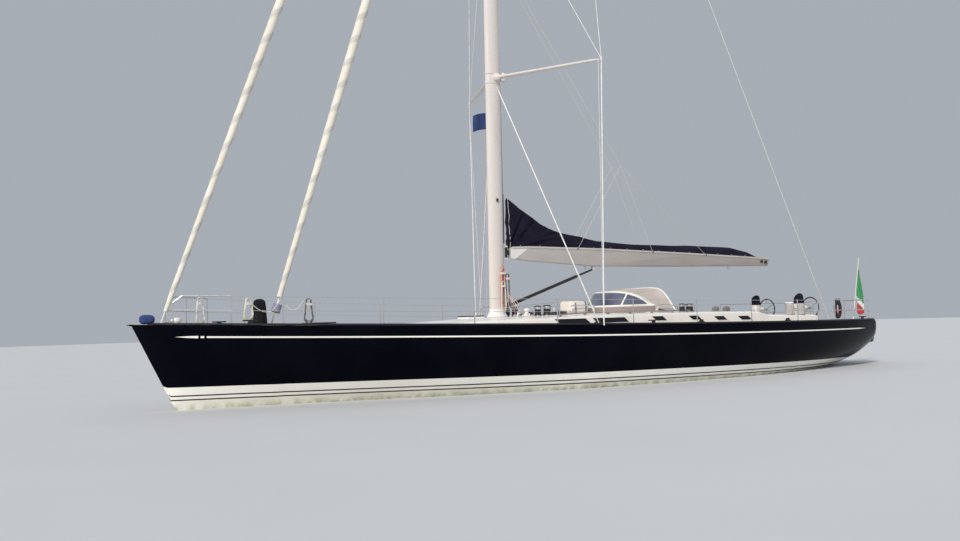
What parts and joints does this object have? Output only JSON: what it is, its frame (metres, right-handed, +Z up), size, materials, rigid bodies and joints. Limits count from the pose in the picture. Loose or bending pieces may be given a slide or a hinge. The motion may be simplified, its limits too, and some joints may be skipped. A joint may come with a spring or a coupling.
{
  "type": "sailing yacht",
  "caption": "Sloop-rigged cruising yacht with fin keel, spade rudder, twin wheels, furled headsails and a boom that swings and lifts.",
  "frame": {"origin": "on the waterline, on the centre line, halfway between the stem's top and the stern's tip", "axes": "+X towards the bow, +Y to port, +Z up"},
  "size_m": [23.983, 6.052, 31.4],
  "materials": {
    "hull_paint": "glossy near-black navy topsides with white and black boot-top stripes and cream bottom paint",
    "deck_teak": "laid teak planks with black seams",
    "deck_white": "white moulded laminate",
    "dark_glass": "smoked glazing",
    "keel_iron": "painted cast metal",
    "bottom_paint": "matt bottom paint",
    "bronze": "dull bronze",
    "stainless": "polished stainless steel",
    "spar_paint": "white painted spar",
    "rigging_rod": "smooth steel rod",
    "sailcloth": "furled sailcloth with a sun strip",
    "black_fitting": "black anodised fitting",
    "navy_canvas": "navy acrylic canvas",
    "aluminium_rail": "satin anodised rail",
    "beige_canvas": "beige acrylic canvas with white piping",
    "raft_cover": "cream canvas over a canister",
    "red_cloth": "dark red canvas",
    "flag_cloth": "bunting in green, white and red bands"
  },
  "bodies": {
    "yacht": {"hull": "hull_paint", "deck": "deck_teak", "coachroof": "deck_white", "companion_steps": "deck_teak", "engine_block": "keel_iron", "keel_bulb": "keel_iron", "keel_fin": "keel_iron", "shaft_bracket": "bronze", "mast": "spar_paint", "spreader_1_port": "spar_paint", "spreader_1_starboard": "spar_paint", "spreader_2_port": "spar_paint", "spreader_2_starboard": "spar_paint", "spreader_3_port": "spar_paint", "spreader_3_starboard": "spar_paint", "cap_shroud_port": "rigging_rod", "cap_shroud_starboard": "rigging_rod", "lower_shroud_port": "rigging_rod", "lower_shroud_starboard": "rigging_rod", "backstay": "rigging_rod", "outer_headsail": "sailcloth", "inner_headsail": "sailcloth", "inner_furler_drum": "black_fitting", "pulpit": "stainless", "pushpit_port": "stainless", "pushpit_starboard": "stainless", "lifelines_port": "stainless", "lifelines_starboard": "stainless", "toe_rail_port": "aluminium_rail", "toe_rail_starboard": "aluminium_rail", "windscreen": "dark_glass", "sprayhood": "beige_canvas", "helm_pedestal_port": "deck_white", "helm_pedestal_starboard": "deck_white", "helm_cover_port": "navy_canvas", "helm_cover_starboard": "navy_canvas", "halyard_winch_port": "stainless", "halyard_winch_starboard": "stainless", "primary_winch_port": "stainless", "primary_winch_starboard": "stainless", "life_raft": "raft_cover", "lifebuoy": "red_cloth", "ensign_staff": "spar_paint", "ensign": "flag_cloth"},
    "boom_swivel": {"gooseneck_toggle": "black_fitting", "vang_toggle": "black_fitting"},
    "boom": {"boom": "spar_paint", "sail_cover": "navy_canvas"},
    "vang_tube": {"vang_tube": "black_fitting"},
    "vang_rod": {"vang_rod": "stainless"},
    "rudder": {"rudder": "bottom_paint"},
    "wheel_port": {"wheel_port": "stainless"},
    "wheel_starboard": {"wheel_starboard": "stainless"},
    "propeller": {"propeller": "bronze", "propeller_shaft": "stainless"},
    "companion_hatch": {"companion_hatch": "dark_glass"},
    "companion_door_port": {"companion_door_port": "deck_white"},
    "companion_door_starboard": {"companion_door_starboard": "deck_white"},
    "fore_hatch_lid": {"fore_hatch_lid": "dark_glass"},
    "roof_hatch_lid": {"roof_hatch_lid": "dark_glass"}
  },
  "joints": [
    {"name": "boom_swing", "type": "hinge", "parent": "yacht", "child": "boom_swivel", "pos_m": [2.1, 0, 3.56], "axis": [0, 0, 1], "range_deg": [-60, 60]},
    {"name": "boom_lift", "type": "hinge", "parent": "boom_swivel", "child": "boom", "pos_m": [1.96, 0, 3.56], "axis": [0, 1, 0], "range_deg": [-2, 3]},
    {"name": "vang_pivot", "type": "hinge", "parent": "boom_swivel", "child": "vang_tube", "pos_m": [2.02, 0, 2.16], "axis": [0, 1, 0], "range_deg": [-2, 3]},
    {"name": "vang_extend", "type": "slide", "parent": "vang_tube", "child": "vang_rod", "axis": [-0.9493, 0, 0.3143], "range_m": [-0.06, 0.09]},
    {"name": "rudder_turn", "type": "hinge", "parent": "yacht", "child": "rudder", "pos_m": [-9.75, 0, -0.5], "axis": [0, 0, 1], "range_deg": [-35, 35]},
    {"name": "wheel_turn_port", "type": "hinge", "parent": "yacht", "child": "wheel_port", "pos_m": [-9.1, 0.88, 1.88], "axis": [1, 0, 0], "range_deg": [-285, 285]},
    {"name": "wheel_turn_starboard", "type": "hinge", "parent": "yacht", "child": "wheel_starboard", "pos_m": [-9.1, -0.88, 1.88], "axis": [1, 0, 0], "range_deg": [-285, 285]},
    {"name": "propeller_spin", "type": "hinge", "parent": "yacht", "child": "propeller", "pos_m": [-6.35, 0, -0.88], "axis": [0.9859, 0, 0.1676], "continuous": true},
    {"name": "companion_hatch_slide", "type": "slide", "parent": "yacht", "child": "companion_hatch", "axis": [1, 0, 0], "range_m": [0, 0.8]},
    {"name": "companion_door_swing_port", "type": "hinge", "parent": "yacht", "child": "companion_door_port", "pos_m": [-3.4503, 0.37, 1.58], "axis": [0, 0, 1], "range_deg": [-100, 0]},
    {"name": "companion_door_swing_starboard", "type": "hinge", "parent": "yacht", "child": "companion_door_starboard", "pos_m": [-3.4503, -0.37, 1.58], "axis": [0, 0, 1], "range_deg": [0, 100]},
    {"name": "fore_hatch_lift", "type": "hinge", "parent": "yacht", "child": "fore_hatch_lid", "pos_m": [7.9, 0, 1.8343], "axis": [0, 1, 0], "range_deg": [0, 95]},
    {"name": "roof_hatch_lift", "type": "hinge", "parent": "yacht", "child": "roof_hatch_lid", "pos_m": [3.53, 0, 1.8983], "axis": [0, 1, 0], "range_deg": [0, 95]}
  ],
  "couplings": [
    {"joint": "vang_pivot", "follows": "boom_lift", "ratio": 0.84},
    {"joint": "vang_extend", "follows": "boom_lift", "m_per_rad": 1.31},
    {"joint": "wheel_turn_port", "follows": "rudder_turn", "ratio": 8},
    {"joint": "wheel_turn_starboard", "follows": "rudder_turn", "ratio": 8}
  ]
}
